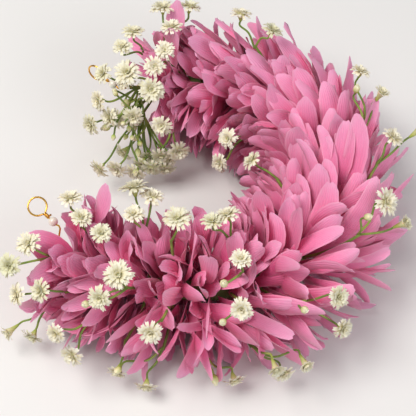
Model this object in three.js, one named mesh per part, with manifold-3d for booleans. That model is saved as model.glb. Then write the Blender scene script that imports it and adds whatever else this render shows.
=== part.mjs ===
// A flower hair garland: whorls of pink petals and small cream gypsophila sprigs
// threaded round a taped cord, bent to a C, with a wire loop and a pearl bead at each end.
// Millimetres, +Z up. The garland lies on the plane z = 0, and its mouth faces -X.
import * as THREE from "three";
import { mergeVertices } from "three/addons/utils/BufferGeometryUtils.js";
import Module from "manifold-3d";

const wasm = await Module();
wasm.setup();

// ---- Driving dimensions ----
const ROUTE_START = { x: -52, y: -30 };
const ROUTE_HEADING = -27; // degrees from +X at the start of the cord
const ROUTE_ARCS = [
  { radius: 110, sweep: 30 },
  { radius: 50, sweep: 155 },
  { radius: 75, sweep: 35 },
];
const CORE_HEIGHT = 27;
const CORE_RADIUS = 4;
const CORE_OVERHANG = 2; // taped cord past the first whorl
const TOUCH_GAP = 0.3;

const WHORL_COUNT = 23;
const WHORL_SPACING = 10.5;
const FIRST_WHORL = 3;
const FIRST_SPACING = 7; // the first whorls stand closer and open up by 1 mm each
const PETAL_THICKNESS = 1.1;
const END_RIM = 27; // petal tips to cord axis at the ends
const MIDDLE_SWELL = 6.5; // extra reach in the middle of the garland

const STEM_RADIUS = 0.6;
const RIM_CLEARANCE = 1.4; // where a sprig forks, outside the petal tips
const LOWEST_HEAD = 5; // the lowest that a flower head is carried over the table

const WIRE_RADIUS = 0.4;
const WIRE_SOCKET_DEPTH = 12;
const BEAD_RADIUS = 2;
const BEAD_HOLE_RADIUS = WIRE_RADIUS + TOUCH_GAP;
const LOOP_RADIUS = 3.85;
const NECK_LENGTH = 2.2;
const NECK_TURNS = 1.5;
const STRAND_OFFSET = 0.46;

// ---- Sprigs ----
// Each sprig leaves the cord in the gap after the whorl of that number, at an angle round
// the cord (0 = outside of the bend, 90 = up). Its heads are
// [along the garland, turn round the cord, height over the petal tips, kind].
const SPRIGS = [
  { after: 1, angle: 64, heads: [[-2, 2, 1, "open"], [-6, -16, 3, "open"]] },
  { after: 2, angle: 104, heads: [[1, -5, 1, "open"], [-7, 6, 1, "open"], [11, -8, 0, "open"]] },
  { after: 2, angle: 34, heads: [[-8, -4, 2, "open"], [0, 6, 1, "open"]] },
  { after: 1, angle: -20, heads: [[-4, -4, 4, "trumpet"], [3, -8, 3, "open"]] },
  { after: 3, angle: 8, heads: [[-3, 6, 2, "open"], [2, -12, 3, "open"]] },
  { after: 4, angle: -20, heads: [[2, -4, 1, "open"]] },
  { after: 4, angle: 60, heads: [[0, 8, 0, "large"], [-4, -8, 0, "open"], [-8, -16, 0, "bud"]] },
  { after: 4, angle: 124, heads: [[-5, 6, 5, "large"], [3, 8, 4, "open"], [-2, -8, 0, "open"]] },
  { after: 5, angle: 116, heads: [[4, 0, 0, "large"]] },
  { after: 5, angle: 34, heads: [[-1, 2, 0, "open"]] },
  { after: 5, angle: -26, heads: [[-3, -2, 4, "open"], [-11, 10, 1, "bud"]] },
  { after: 7, angle: 112, heads: [[-10, -2, 0, "open"], [-1, 2, 0, "open"]] },
  { after: 7, angle: 76, heads: [[-2, 4, 0, "open"], [-8, -8, 0, "bud"]] },
  { after: 7, angle: 48, heads: [[-4, 4, 0, "open"], [-9, -4, 0, "bud"]] },
  { after: 6, angle: -22, heads: [[8, -6, 0, "open"], [3, 2, 0, "bud"]] },
  { after: 7, angle: -8, heads: [[2, 10, 0, "trumpet"], [9, 2, 1, "trumpet"], [5, -16, 2, "open"]] },
  { after: 8, angle: 34, heads: [[-4, 4, 0, "bud"], [5, 0, 0, "open"], [4, -26, 1, "open"]] },
  { after: 10, angle: 42, heads: [[2, 8, 0, "large"], [0, -12, 0, "trumpet"], [-5, 14, 0, "bud"]] },
  { after: 11, angle: 142, heads: [[-2, 4, 1, "open"]] },
  { after: 12, angle: 40, heads: [[-4, 6, 0, "open"], [-1, -10, 5, "trumpet"]] },
  { after: 13, angle: 50, heads: [[0, -6, 0, "trumpet"], [8, 0, 1, "open"], [2, 12, 0, "bud"]] },
  { after: 16, angle: 158, heads: [[0, 0, 1, "open"], [4, 24, 2, "open"]] },
  { after: 18, angle: 66, heads: [[0, -2, 1, "open"], [-12, 4, 0, "open"]] },
  { after: 22, angle: 60, heads: [[-4, -4, 3, "large"], [-13, -4, 3, "open"], [-7, 18, 0, "open"]] },
  { after: 22, angle: 100, heads: [[-3, -2, 0, "open"], [3, 10, 1, "open"]] },
  { after: 22, angle: 176, heads: [[3, -18, 0, "open"], [-6, 12, 1, "open"], [5, 20, 0, "open"]] },
  { after: 23, angle: 80, heads: [[0, -6, 0, "open"], [6, 8, 0, "open"]] },
  { after: 23, angle: 120, heads: [[6, -8, 0, "large"], [-2, 8, 0, "large"]] },
];

// The bunch that leaves the cord's cut end. Its heads are
// [distance past the cord's end, reach from its axis, angle round it, kind].
const END_BUNCH = [
  { angle: 118, heads: [[22, 23, 104, "open"], [25, 20, 130, "open"]] },
  { angle: 160, heads: [[30, 18, 160, "open"], [24, 16, 180, "bud"], [22, 22, 150, "open"]] },
  { angle: 205, heads: [[30, 30, 200, "open"], [23, 32, 196, "open"], [16, 34, 202, "bud"]] },
];

const rad = THREE.MathUtils.degToRad;
const ARC_LENGTHS = ROUTE_ARCS.map(({ radius, sweep }) => radius * rad(sweep));
const ROUTE_LENGTH = ARC_LENGTHS.reduce((sum, length) => sum + length, 0);

// ---- The garland's own coordinates ----
// The cord's centre line: three arcs to the left, run on straight past both ends.
function routeAt(distance) {
  let { x, y } = ROUTE_START;
  let heading = rad(ROUTE_HEADING);
  let left = distance;
  ROUTE_ARCS.forEach(({ radius }, i) => {
    const run = THREE.MathUtils.clamp(left, 0, ARC_LENGTHS[i]);
    const next = heading + run / radius;
    x += radius * (Math.sin(next) - Math.sin(heading));
    y += radius * (Math.cos(heading) - Math.cos(next));
    heading = next;
    left -= run;
  });
  return { x: x + left * Math.cos(heading), y: y + left * Math.sin(heading), heading };
}

// A point at a distance along the cord, a reach from its axis and an angle round it.
function place(distance, reach, angle) {
  const { x, y, heading } = routeAt(distance);
  const out = reach * Math.cos(angle);
  const z = CORE_HEIGHT + reach * Math.sin(angle);
  return new THREE.Vector3(x + out * Math.sin(heading), y - out * Math.cos(heading), z);
}

// How far petals of full lean have drifted along the garland at a reach from its axis.
function drift(reach) {
  return 0.35 * reach + 0.012 * reach * reach;
}

// Petals lean back at the first end, stand up after it, then lean forward to the far end.
function leanAt(distance) {
  const opening = Math.min(1, distance / 57 - 0.9);
  const closing = 0.4 * THREE.MathUtils.smoothstep(distance, 190, 228);
  return opening * (1 - closing);
}

function rimAt(distance) {
  const share = THREE.MathUtils.clamp(distance / ROUTE_LENGTH, 0, 1);
  return END_RIM + MIDDLE_SWELL * Math.pow(Math.sin(Math.PI * share), 0.6);
}

function whorlDistance(number) {
  let distance = FIRST_WHORL;
  for (let i = 1; i < number; i++) {
    distance += Math.min(WHORL_SPACING, FIRST_SPACING + i - 1);
  }
  return distance;
}

// A steady scatter from 0 to 1, the same for the same seed.
function scatter(seed) {
  const wave = Math.sin(seed * 12.9898) * 43758.5453;
  return wave - Math.floor(wave);
}

// ---- Solids ----
function solidOf(geometry) {
  const bare = geometry.index ? geometry.toNonIndexed() : geometry.clone();
  bare.deleteAttribute("normal");
  bare.deleteAttribute("uv");
  const merged = mergeVertices(bare, 1e-4);
  const corners = merged.index.array;
  const triVerts = [];
  for (let i = 0; i < corners.length; i += 3) {
    const [a, b, c] = corners.slice(i, i + 3);
    if (a !== b && b !== c && c !== a) triVerts.push(a, b, c);
  }
  return new wasm.Manifold(
    new wasm.Mesh({
      numProp: 3,
      vertProperties: merged.attributes.position.array,
      triVerts: new Uint32Array(triVerts),
    }),
  );
}

function geometryOf(solid) {
  const { vertProperties, triVerts, numProp } = solid.getMesh();
  const count = vertProperties.length / numProp;
  const positions = new Float32Array(count * 3);
  for (let i = 0; i < count; i++) {
    positions.set(vertProperties.subarray(i * numProp, i * numProp + 3), i * 3);
  }
  const geometry = new THREE.BufferGeometry();
  geometry.setAttribute("position", new THREE.BufferAttribute(positions, 3));
  geometry.setIndex(new THREE.BufferAttribute(new Uint32Array(triVerts), 1));
  geometry.computeVertexNormals();
  return geometry;
}

function joined(solids) {
  return solids.reduce((whole, solid) => whole.add(solid));
}

const ABOVE_TABLE = solidOf(new THREE.BoxGeometry(600, 600, 200).translate(0, 0, 100));

function roundTube(points, radius, sides, steps) {
  const section = new THREE.Shape();
  for (let i = 0; i < sides; i++) {
    const angle = (2 * Math.PI * i) / sides;
    const corner = [radius * Math.cos(angle), radius * Math.sin(angle)];
    if (i === 0) section.moveTo(...corner);
    else section.lineTo(...corner);
  }
  section.closePath();
  const path = new THREE.CatmullRomCurve3(points, false, "centripetal");
  return solidOf(
    new THREE.ExtrudeGeometry(section, { steps, extrudePath: path, bevelEnabled: false }),
  );
}

function turned(profile, segments) {
  const points = profile.map(([radius, height]) => new THREE.Vector2(radius, height));
  return new THREE.LatheGeometry(points, segments);
}

// ---- Taped cord ----
function coreStretch(from, to, radius, sides, steps) {
  const points = [];
  for (let i = 0; i <= steps; i++) {
    points.push(place(from + ((to - from) * i) / steps, 0, 0));
  }
  return roundTube(points, radius, sides, steps);
}

const CORE_END = ROUTE_LENGTH - 4;

function coreCord() {
  const cord = coreStretch(-CORE_OVERHANG, CORE_END, CORE_RADIUS, 8, 24);
  const socketRadius = WIRE_RADIUS + TOUCH_GAP;
  const firstSocket = coreStretch(
    -CORE_OVERHANG - 1, -CORE_OVERHANG + WIRE_SOCKET_DEPTH, socketRadius, 6, 4,
  );
  const lastSocket = coreStretch(CORE_END - WIRE_SOCKET_DEPTH, CORE_END + 1, socketRadius, 6, 4);
  return cord.subtract(firstSocket).subtract(lastSocket);
}

// ---- Petal whorls ----
// A flat rosette in polar form, then laid on its leaning surface round the cord.
function petalWhorl(number) {
  const distance = whorlDistance(number);
  const lean = leanAt(distance);
  const rim = rimAt(distance + lean * drift(END_RIM));
  const petals = 11;
  const step = (2 * Math.PI) / petals;
  const phase = (number % 2) * (step / 2);
  const rosette = new THREE.Shape();
  const polar = (reach, angle) => [reach * Math.cos(angle), reach * Math.sin(angle)];
  for (let i = 0; i < petals; i++) {
    const middle = i * step + phase;
    const length = rim * (1 - 0.1 * scatter(number * 31 + i));
    const start = polar(0.32 * rim, middle - step / 2);
    if (i === 0) rosette.moveTo(...start);
    else rosette.lineTo(...start);
    rosette.lineTo(...polar(0.72 * length, middle - 0.4 * step));
    rosette.lineTo(...polar(length, middle - 0.16 * step));
    rosette.lineTo(...polar(length, middle + 0.16 * step));
    rosette.lineTo(...polar(0.72 * length, middle + 0.4 * step));
  }
  rosette.closePath();
  const eye = new THREE.Path();
  const eyeSides = 8;
  const eyeRadius = (CORE_RADIUS + TOUCH_GAP) / Math.cos(Math.PI / eyeSides);
  for (let i = 0; i < eyeSides; i++) {
    const corner = polar(eyeRadius, (-2 * Math.PI * i) / eyeSides);
    if (i === 0) eye.moveTo(...corner);
    else eye.lineTo(...corner);
  }
  eye.closePath();
  rosette.holes.push(eye);
  const sheet = new THREE.ExtrudeGeometry(rosette, {
    depth: PETAL_THICKNESS,
    bevelEnabled: false,
  });
  const corners = sheet.attributes.position;
  for (let i = 0; i < corners.count; i++) {
    const reach = Math.hypot(corners.getX(i), corners.getY(i));
    const angle = Math.atan2(corners.getY(i), corners.getX(i));
    const wave = 1.4 * Math.sin(5 * angle + number) * Math.pow(reach / rim, 2);
    const through = PETAL_THICKNESS / 2 - corners.getZ(i);
    const along = distance + lean * drift(reach) + wave + through;
    const point = place(along, reach, angle);
    corners.setXYZ(i, point.x, point.y, point.z);
  }
  return solidOf(sheet).intersect(ABOVE_TABLE);
}

// ---- Gypsophila sprigs ----
// Profiles from the stem upward: a funnel under a shallow tuft of petals, or a closed bud.
const HEAD_PROFILES = {
  open: [[0, 0], [0.8, 0], [4.4, 3.8], [3.2, 5.2], [0, 5.4]],
  large: [[0, 0], [0.9, 0], [5.6, 4.4], [4, 6.2], [0, 6.4]],
  trumpet: [[0, 0], [0.8, 0], [3.8, 6], [2.6, 7.2], [0, 7.4]],
  bud: [[0, 0], [0.8, 0], [1.9, 2.2], [0, 4.8]],
};

function flowerHead(kind, base, direction) {
  const head = turned(HEAD_PROFILES[kind], 6);
  const upright = new THREE.Vector3(0, 1, 0);
  const turn = new THREE.Quaternion().setFromUnitVectors(upright, direction);
  head.applyQuaternion(turn);
  head.translate(base.x, base.y, base.z);
  return solidOf(head);
}

function branchWithHead(fork, outward, base, kind) {
  const direction = base.clone().sub(fork).normalize().multiplyScalar(0.5);
  direction.add(outward).normalize();
  const rootPoint = fork.clone().addScaledVector(outward, -1.2);
  const middle = fork.clone().lerp(base, 0.5).addScaledVector(outward, 0.6);
  const tip = base.clone().addScaledVector(direction, 0.8);
  const branch = roundTube([rootPoint, middle, tip], STEM_RADIUS * 0.9, 4, 2);
  return branch.add(flowerHead(kind, base, direction));
}

function gapSprig({ after, angle, heads }) {
  const low = whorlDistance(after);
  const high = after < WHORL_COUNT ? whorlDistance(after + 1) : low + WHORL_SPACING;
  const middle = (low + high) / 2;
  const lean = (leanAt(low) + leanAt(high)) / 2;
  const rim = rimAt(middle + lean * drift(END_RIM));
  const along = (reach) => middle + lean * drift(reach);
  const turn = rad(angle);
  const forkReach = rim + RIM_CLEARANCE;
  const rootReach = CORE_RADIUS + STEM_RADIUS + TOUCH_GAP;
  const stemPoints = [];
  const stemSteps = 3;
  for (let i = 0; i <= stemSteps; i++) {
    const reach = rootReach + ((forkReach - rootReach) * i) / stemSteps;
    stemPoints.push(place(along(reach), reach, turn));
  }
  const fork = stemPoints[stemSteps];
  const outward = fork.clone().sub(place(along(forkReach), 0, 0)).normalize();
  const pieces = [roundTube(stemPoints, STEM_RADIUS, 5, stemSteps)];
  for (const [ahead, aside, height, kind] of heads) {
    const reach = rim + RIM_CLEARANCE + height;
    const base = place(along(rim) + ahead, reach, turn + rad(aside));
    base.z = Math.max(base.z, LOWEST_HEAD);
    pieces.push(branchWithHead(fork, outward, base, kind));
  }
  return joined(pieces).intersect(ABOVE_TABLE);
}

function endSprig({ angle, heads }) {
  const start = place(CORE_END + TOUCH_GAP + STEM_RADIUS, 2.6, rad(angle));
  const forkTurn = rad(angle);
  const fork = place(CORE_END + 9, 11, forkTurn);
  const outward = fork.clone().sub(start).normalize();
  const bend = start.clone().lerp(fork, 0.5);
  const pieces = [roundTube([start, bend, fork], STEM_RADIUS, 5, 3)];
  for (const [past, reach, around, kind] of heads) {
    const base = place(CORE_END + past, reach, rad(around));
    base.z = Math.max(base.z, LOWEST_HEAD);
    pieces.push(branchWithHead(fork, outward, base, kind));
  }
  return joined(pieces).intersect(ABOVE_TABLE);
}

// ---- Wire loops and pearl beads ----
// bead: bead centre; neck: from bead to loop; across: the loop's second direction.
function beadAndLoop({ bead, neck, across, shank }) {
  const u = neck.clone().normalize();
  const v = across.clone().addScaledVector(u, -across.dot(u)).normalize();
  const w = u.clone().cross(v);
  const at = (forward, side, rise) =>
    bead.clone().addScaledVector(u, forward).addScaledVector(v, side).addScaledVector(w, rise);
  const neckStart = BEAD_RADIUS + 0.7;
  const neckEnd = neckStart + NECK_LENGTH;
  const strand = (share, half) => {
    const turn = 2 * Math.PI * NECK_TURNS * (share - 1) + half;
    const forward = neckStart + NECK_LENGTH * share;
    return at(forward, STRAND_OFFSET * Math.cos(turn), STRAND_OFFSET * Math.sin(turn));
  };
  const twistSteps = 10;
  const loopPoints = [at(0, 0, 0), at(BEAD_RADIUS, 0, 0)];
  for (let i = 0; i <= twistSteps; i++) loopPoints.push(strand(i / twistSteps, 0));
  const ringCentre = neckEnd + LOOP_RADIUS + 0.3;
  const ringSteps = 14;
  const ringStart = rad(16);
  for (let i = 0; i <= ringSteps; i++) {
    const turn = ringStart + ((2 * Math.PI - 2 * ringStart) * i) / ringSteps;
    const forward = ringCentre - LOOP_RADIUS * Math.cos(turn);
    loopPoints.push(at(forward, LOOP_RADIUS * Math.sin(turn), 0));
  }
  for (let i = twistSteps; i >= 1; i--) loopPoints.push(strand(i / twistSteps, Math.PI));
  loopPoints.push(at(neckStart - 0.2, 1.3, -1.2));
  const twisted = roundTube(loopPoints, WIRE_RADIUS, 5, 46);
  const shankPoints = [...shank, at(-BEAD_RADIUS - 2, 0, 0), at(-BEAD_RADIUS, 0, 0), at(0.6, 0, 0)];
  const wire = twisted.add(roundTube(shankPoints, WIRE_RADIUS, 5, 12));
  const pearlProfile = [];
  const pearlSteps = 6;
  const holeAngle = Math.asin(BEAD_HOLE_RADIUS / BEAD_RADIUS);
  for (let i = 0; i <= pearlSteps; i++) {
    const turn = -Math.PI / 2 + holeAngle + ((Math.PI - 2 * holeAngle) * i) / pearlSteps;
    pearlProfile.push([BEAD_RADIUS * Math.cos(turn), BEAD_RADIUS * Math.sin(turn)]);
  }
  pearlProfile.push(pearlProfile[0]);
  const pearl = turned(pearlProfile, 8);
  pearl.applyQuaternion(new THREE.Quaternion().setFromUnitVectors(new THREE.Vector3(0, 1, 0), u));
  pearl.translate(bead.x, bead.y, bead.z);
  return { wire, pearl: solidOf(pearl) };
}

const vec = (x, y, z) => new THREE.Vector3(x, y, z);

const FIRST_LOOP = {
  bead: vec(-62, -13.5, 33),
  neck: vec(-0.72, 0.62, 0.3),
  across: vec(0.66, 0.7, 0.26),
  shank: [
    place(-CORE_OVERHANG + WIRE_SOCKET_DEPTH - 1, 0, 0),
    place(-CORE_OVERHANG + 4, 0, 0),
    place(-CORE_OVERHANG - 1, 0, 0),
    place(-CORE_OVERHANG - 8, 2.5, rad(170)),
  ],
};

const LAST_LOOP = {
  bead: vec(-40.5, 57.5, 31),
  neck: vec(-0.8, 0.5, 0.2),
  across: vec(0.27, 0.03, 0.96),
  shank: [
    place(CORE_END - WIRE_SOCKET_DEPTH + 1, 0, 0),
    place(CORE_END - 4, 0, 0),
    place(CORE_END + 1, 0, 0),
    place(CORE_END + 7, 2, rad(60)),
  ],
};

// ---- Finishes ----
function finish(color, roughness, metalness = 0) {
  return new THREE.MeshStandardMaterial({
    color, roughness, metalness, side: THREE.FrontSide,
  });
}

// ---- Assembly ----
const garland = new THREE.Group();

function addPiece(name, solid, material) {
  const mesh = new THREE.Mesh(geometryOf(solid), material);
  mesh.name = name;
  garland.add(mesh);
}

const twoDigits = (number) => String(number).padStart(2, "0");

addPiece("core_cord", coreCord(), finish("#4d5f35", 0.8));
for (let number = 1; number <= WHORL_COUNT; number++) {
  const name = "petal_whorl_" + twoDigits(number);
  addPiece(name, petalWhorl(number), finish("#d77aa6", 0.55));
}
SPRIGS.forEach((sprig, i) => {
  addPiece("gypsophila_sprig_" + twoDigits(i + 1), gapSprig(sprig), finish("#dcd8ac", 0.6));
});
END_BUNCH.forEach((sprig, i) => {
  const name = "end_sprig_" + twoDigits(i + 1);
  addPiece(name, endSprig(sprig), finish("#dcd8ac", 0.6));
});
[["first", FIRST_LOOP], ["last", LAST_LOOP]].forEach(([end, plan]) => {
  const { wire, pearl } = beadAndLoop(plan);
  addPiece(end + "_loop_wire", wire, finish("#c8922c", 0.3, 1));
  addPiece(end + "_pearl_bead", pearl, finish("#efe6d4", 0.25));
});

// The origin is under the middle of the garland, on the table.
const extent = new THREE.Box3().setFromObject(garland);
garland.position.set(
  -(extent.min.x + extent.max.x) / 2,
  -(extent.min.y + extent.max.y) / 2,
  -extent.min.z,
);

export default garland;
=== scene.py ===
"""Flower hair garland: pink petals and gypsophila on a taped cord, with wire loops and pearls."""

import math
import random

import bmesh
import bpy
from bpy.props import (
    FloatProperty,
    FloatVectorProperty,
    IntProperty,
    PointerProperty,
)
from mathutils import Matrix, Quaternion, Vector


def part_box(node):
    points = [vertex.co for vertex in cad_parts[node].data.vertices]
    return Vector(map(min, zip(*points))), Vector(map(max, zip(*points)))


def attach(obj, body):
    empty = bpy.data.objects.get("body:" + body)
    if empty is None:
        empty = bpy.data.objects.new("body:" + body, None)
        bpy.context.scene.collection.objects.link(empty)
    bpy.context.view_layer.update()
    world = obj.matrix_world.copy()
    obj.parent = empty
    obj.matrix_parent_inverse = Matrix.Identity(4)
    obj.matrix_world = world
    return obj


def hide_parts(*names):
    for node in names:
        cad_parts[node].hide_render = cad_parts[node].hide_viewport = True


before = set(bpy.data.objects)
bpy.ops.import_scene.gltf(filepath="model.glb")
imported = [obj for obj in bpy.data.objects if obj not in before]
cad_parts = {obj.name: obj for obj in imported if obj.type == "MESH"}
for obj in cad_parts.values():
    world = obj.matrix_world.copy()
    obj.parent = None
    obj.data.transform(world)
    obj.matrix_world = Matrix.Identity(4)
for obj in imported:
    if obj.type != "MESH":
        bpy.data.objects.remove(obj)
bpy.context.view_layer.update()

bl_info = {
    "name": "Flower Hair Garland",
    "version": (1, 0, 0),
    "blender": (4, 5, 0),
    "location": "View3D > Sidebar > Garland",
    "description": "Builds a garland of pink petals and gypsophila round a taped cord",
    "category": "Add Mesh",
}

# ---- Sizes shared with the CAD model, in metres and degrees ----
MM = 0.001
ROUTE_START = Vector((-0.052, -0.030))
ROUTE_HEADING = -27
ROUTE_ARCS = [(0.110, 30), (0.050, 155), (0.075, 35)]  # radius, sweep to the left
CORE_HEIGHT = 0.027
CORE_RADIUS = 0.004
CORE_OVERHANG = 0.002
CORE_SHORTFALL = 0.004  # the cord stops this much before its route ends
WHORL_COUNT = 23
WHORL_SPACING = 0.0105
FIRST_WHORL = 0.003
FIRST_SPACING = 0.007
SPACING_GROWTH = 0.001
END_RIM = 0.027
MIDDLE_SWELL = 0.0065
STEM_RADIUS = 0.0006
RIM_CLEARANCE = 0.0014
FORK_SHARE = 0.78  # where a sprig forks, between the petals
LOWEST_HEAD = 0.005
BEAD_RADIUS = 0.002
WIRE_RADIUS = 0.0004
LOOP_RADIUS = 0.00385
NECK_LENGTH = 0.0022
NECK_TURNS = 1.5
STRAND_OFFSET = 0.00046
SHARP_FOLD = math.radians(50)  # a fold past this stays crisp in the shading

# Each sprig: (whorl it follows, angle round the cord, heads), and each head is
# (along the garland in mm, turn round the cord, height over the petal tips in mm, kind).
SPRIGS = [
    (1, 64, [(-2, 2, 1, "open"), (-6, -16, 3, "open")]),
    (2, 104, [(1, -5, 1, "open"), (-7, 6, 1, "open"), (11, -8, 0, "open")]),
    (2, 34, [(-8, -4, 2, "open"), (0, 6, 1, "open")]),
    (1, -20, [(-4, -4, 4, "trumpet"), (3, -8, 3, "open")]),
    (3, 8, [(-3, 6, 2, "open"), (2, -12, 3, "open")]),
    (4, -20, [(2, -4, 1, "open")]),
    (4, 60, [(0, 8, 0, "large"), (-4, -8, 0, "open"), (-8, -16, 0, "bud")]),
    (4, 124, [(-5, 6, 5, "large"), (3, 8, 4, "open"), (-2, -8, 0, "open")]),
    (5, 116, [(4, 0, 0, "large")]),
    (5, 34, [(-1, 2, 0, "open")]),
    (5, -26, [(-3, -2, 4, "open"), (-11, 10, 1, "bud")]),
    (7, 112, [(-10, -2, 0, "open"), (-1, 2, 0, "open")]),
    (7, 76, [(-2, 4, 0, "open"), (-8, -8, 0, "bud")]),
    (7, 48, [(-4, 4, 0, "open"), (-9, -4, 0, "bud")]),
    (6, -22, [(8, -6, 0, "open"), (3, 2, 0, "bud")]),
    (7, -8, [(2, 10, 0, "trumpet"), (9, 2, 1, "trumpet"), (5, -16, 2, "open")]),
    (8, 34, [(-4, 4, 0, "bud"), (5, 0, 0, "open"), (4, -26, 1, "open")]),
    (10, 42, [(2, 8, 0, "large"), (0, -12, 0, "trumpet"), (-5, 14, 0, "bud")]),
    (11, 142, [(-2, 4, 1, "open")]),
    (12, 40, [(-4, 6, 0, "open"), (-1, -10, 5, "trumpet")]),
    (13, 50, [(0, -6, 0, "trumpet"), (8, 0, 1, "open"), (2, 12, 0, "bud")]),
    (16, 158, [(0, 0, 1, "open"), (4, 24, 2, "open")]),
    (18, 66, [(0, -2, 1, "open"), (-12, 4, 0, "open")]),
    (22, 60, [(-4, -4, 3, "large"), (-13, -4, 3, "open"), (-7, 18, 0, "open")]),
    (22, 100, [(-3, -2, 0, "open"), (3, 10, 1, "open")]),
    (22, 176, [(3, -18, 0, "open"), (-6, 12, 1, "open"), (5, 20, 0, "open")]),
    (23, 80, [(0, -6, 0, "open"), (6, 8, 0, "open")]),
    (23, 120, [(6, -8, 0, "large"), (-2, 8, 0, "large")]),
]

# The bunch out of the cord's far end: (angle, heads), and each head is
# (past the cord's end in mm, reach from its axis in mm, angle round it, kind).
END_BUNCH = [
    (118, [(22, 23, 104, "open"), (25, 20, 130, "open")]),
    (160, [(30, 18, 160, "open"), (24, 16, 180, "bud"), (22, 22, 150, "open")]),
    (205, [(30, 30, 200, "open"), (23, 32, 196, "open"), (16, 34, 202, "bud")]),
]
# Behind each of those heads is another, at these shares of its distance and reach.
BEHIND_PAST = 0.6
BEHIND_REACH = 0.8
BEHIND_TURN = 10
# The last sprig has heads that hang along the inside of the bend.
HANGING_HEADS = 6
HANGING_STEP = 3
HANGING_REACH = 31
HANGING_ANGLE = 198
HANGING_SPREAD = 4
BUNCH_FORK_PAST = 9
BUNCH_FORK_REACH = 11
BUNCH_ROOT_REACH = 2.6
BARE_STEMS = 5

ARC_LENGTHS = [radius * math.radians(sweep) for radius, sweep in ROUTE_ARCS]
ROUTE_LENGTH = sum(ARC_LENGTHS)
CORE_END = ROUTE_LENGTH - CORE_SHORTFALL

# Where the beads stand before the whole part is moved over its origin.
FIRST_BEAD = Vector((-0.062, -0.0135, 0.033))
LAST_BEAD = Vector((-0.0405, 0.0575, 0.031))


def middle_of(node):
    low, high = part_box(node)
    return (low + high) / 2


ORIGIN_SHIFT = middle_of("first_pearl_bead") - FIRST_BEAD


# ---- The garland's own coordinates ----
def clamp(value, low, high):
    return max(low, min(high, value))


def between(pair, share):
    return pair[0] + (pair[1] - pair[0]) * share


def smooth(value, low, high):
    share = clamp((value - low) / (high - low), 0, 1)
    return share * share * (3 - 2 * share)


def route_at(distance):
    """A point of the cord's centre line and its heading, run on straight past both ends."""
    x, y = ROUTE_START
    heading = math.radians(ROUTE_HEADING)
    left = distance
    for (radius, _), length in zip(ROUTE_ARCS, ARC_LENGTHS):
        run = clamp(left, 0, length)
        ahead = heading + run / radius
        x += radius * (math.sin(ahead) - math.sin(heading))
        y += radius * (math.cos(heading) - math.cos(ahead))
        heading = ahead
        left -= run
    return x + left * math.cos(heading), y + left * math.sin(heading), heading


def place(distance, reach, angle):
    """A point at a distance along the cord, a reach from its axis and an angle round it."""
    x, y, heading = route_at(distance)
    out = reach * math.cos(angle)
    point = Vector((
        x + out * math.sin(heading),
        y - out * math.cos(heading),
        CORE_HEIGHT + reach * math.sin(angle),
    ))
    return point + ORIGIN_SHIFT


def around(distance, angle):
    """The direction in which the angle round the cord grows."""
    _, _, heading = route_at(distance)
    side = -math.sin(angle)
    return Vector((side * math.sin(heading), -side * math.cos(heading), math.cos(angle)))


def drift(reach):
    return 0.35 * reach + 12 * reach * reach


def lean_at(distance):
    opening = min(1, distance / 0.057 - 0.9)
    return opening * (1 - 0.4 * smooth(distance, 0.190, 0.228))


def rim_at(distance):
    share = clamp(distance / ROUTE_LENGTH, 0, 1)
    return END_RIM + MIDDLE_SWELL * math.sin(math.pi * share) ** 0.6 if share < 1 else END_RIM


def whorl_distance(number):
    distance = FIRST_WHORL
    for step in range(number - 1):
        distance += min(WHORL_SPACING, FIRST_SPACING + SPACING_GROWTH * step)
    return distance


def over_table(point, rest=0.0035):
    """Bends what would pass under the table so that it lies along the table."""
    if point.z >= rest:
        return point
    sunk = rest - point.z
    return Vector((point.x, point.y, rest * math.exp(-sunk / rest) + 0.0002))


# ---- Materials ----
def new_material(name):
    material = bpy.data.materials.new(name)
    material.use_nodes = True
    nodes = material.node_tree.nodes
    nodes.clear()
    shader = nodes.new("ShaderNodeBsdfPrincipled")
    output = nodes.new("ShaderNodeOutputMaterial")
    material.node_tree.links.new(shader.outputs["BSDF"], output.inputs["Surface"])
    return material, shader


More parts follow.
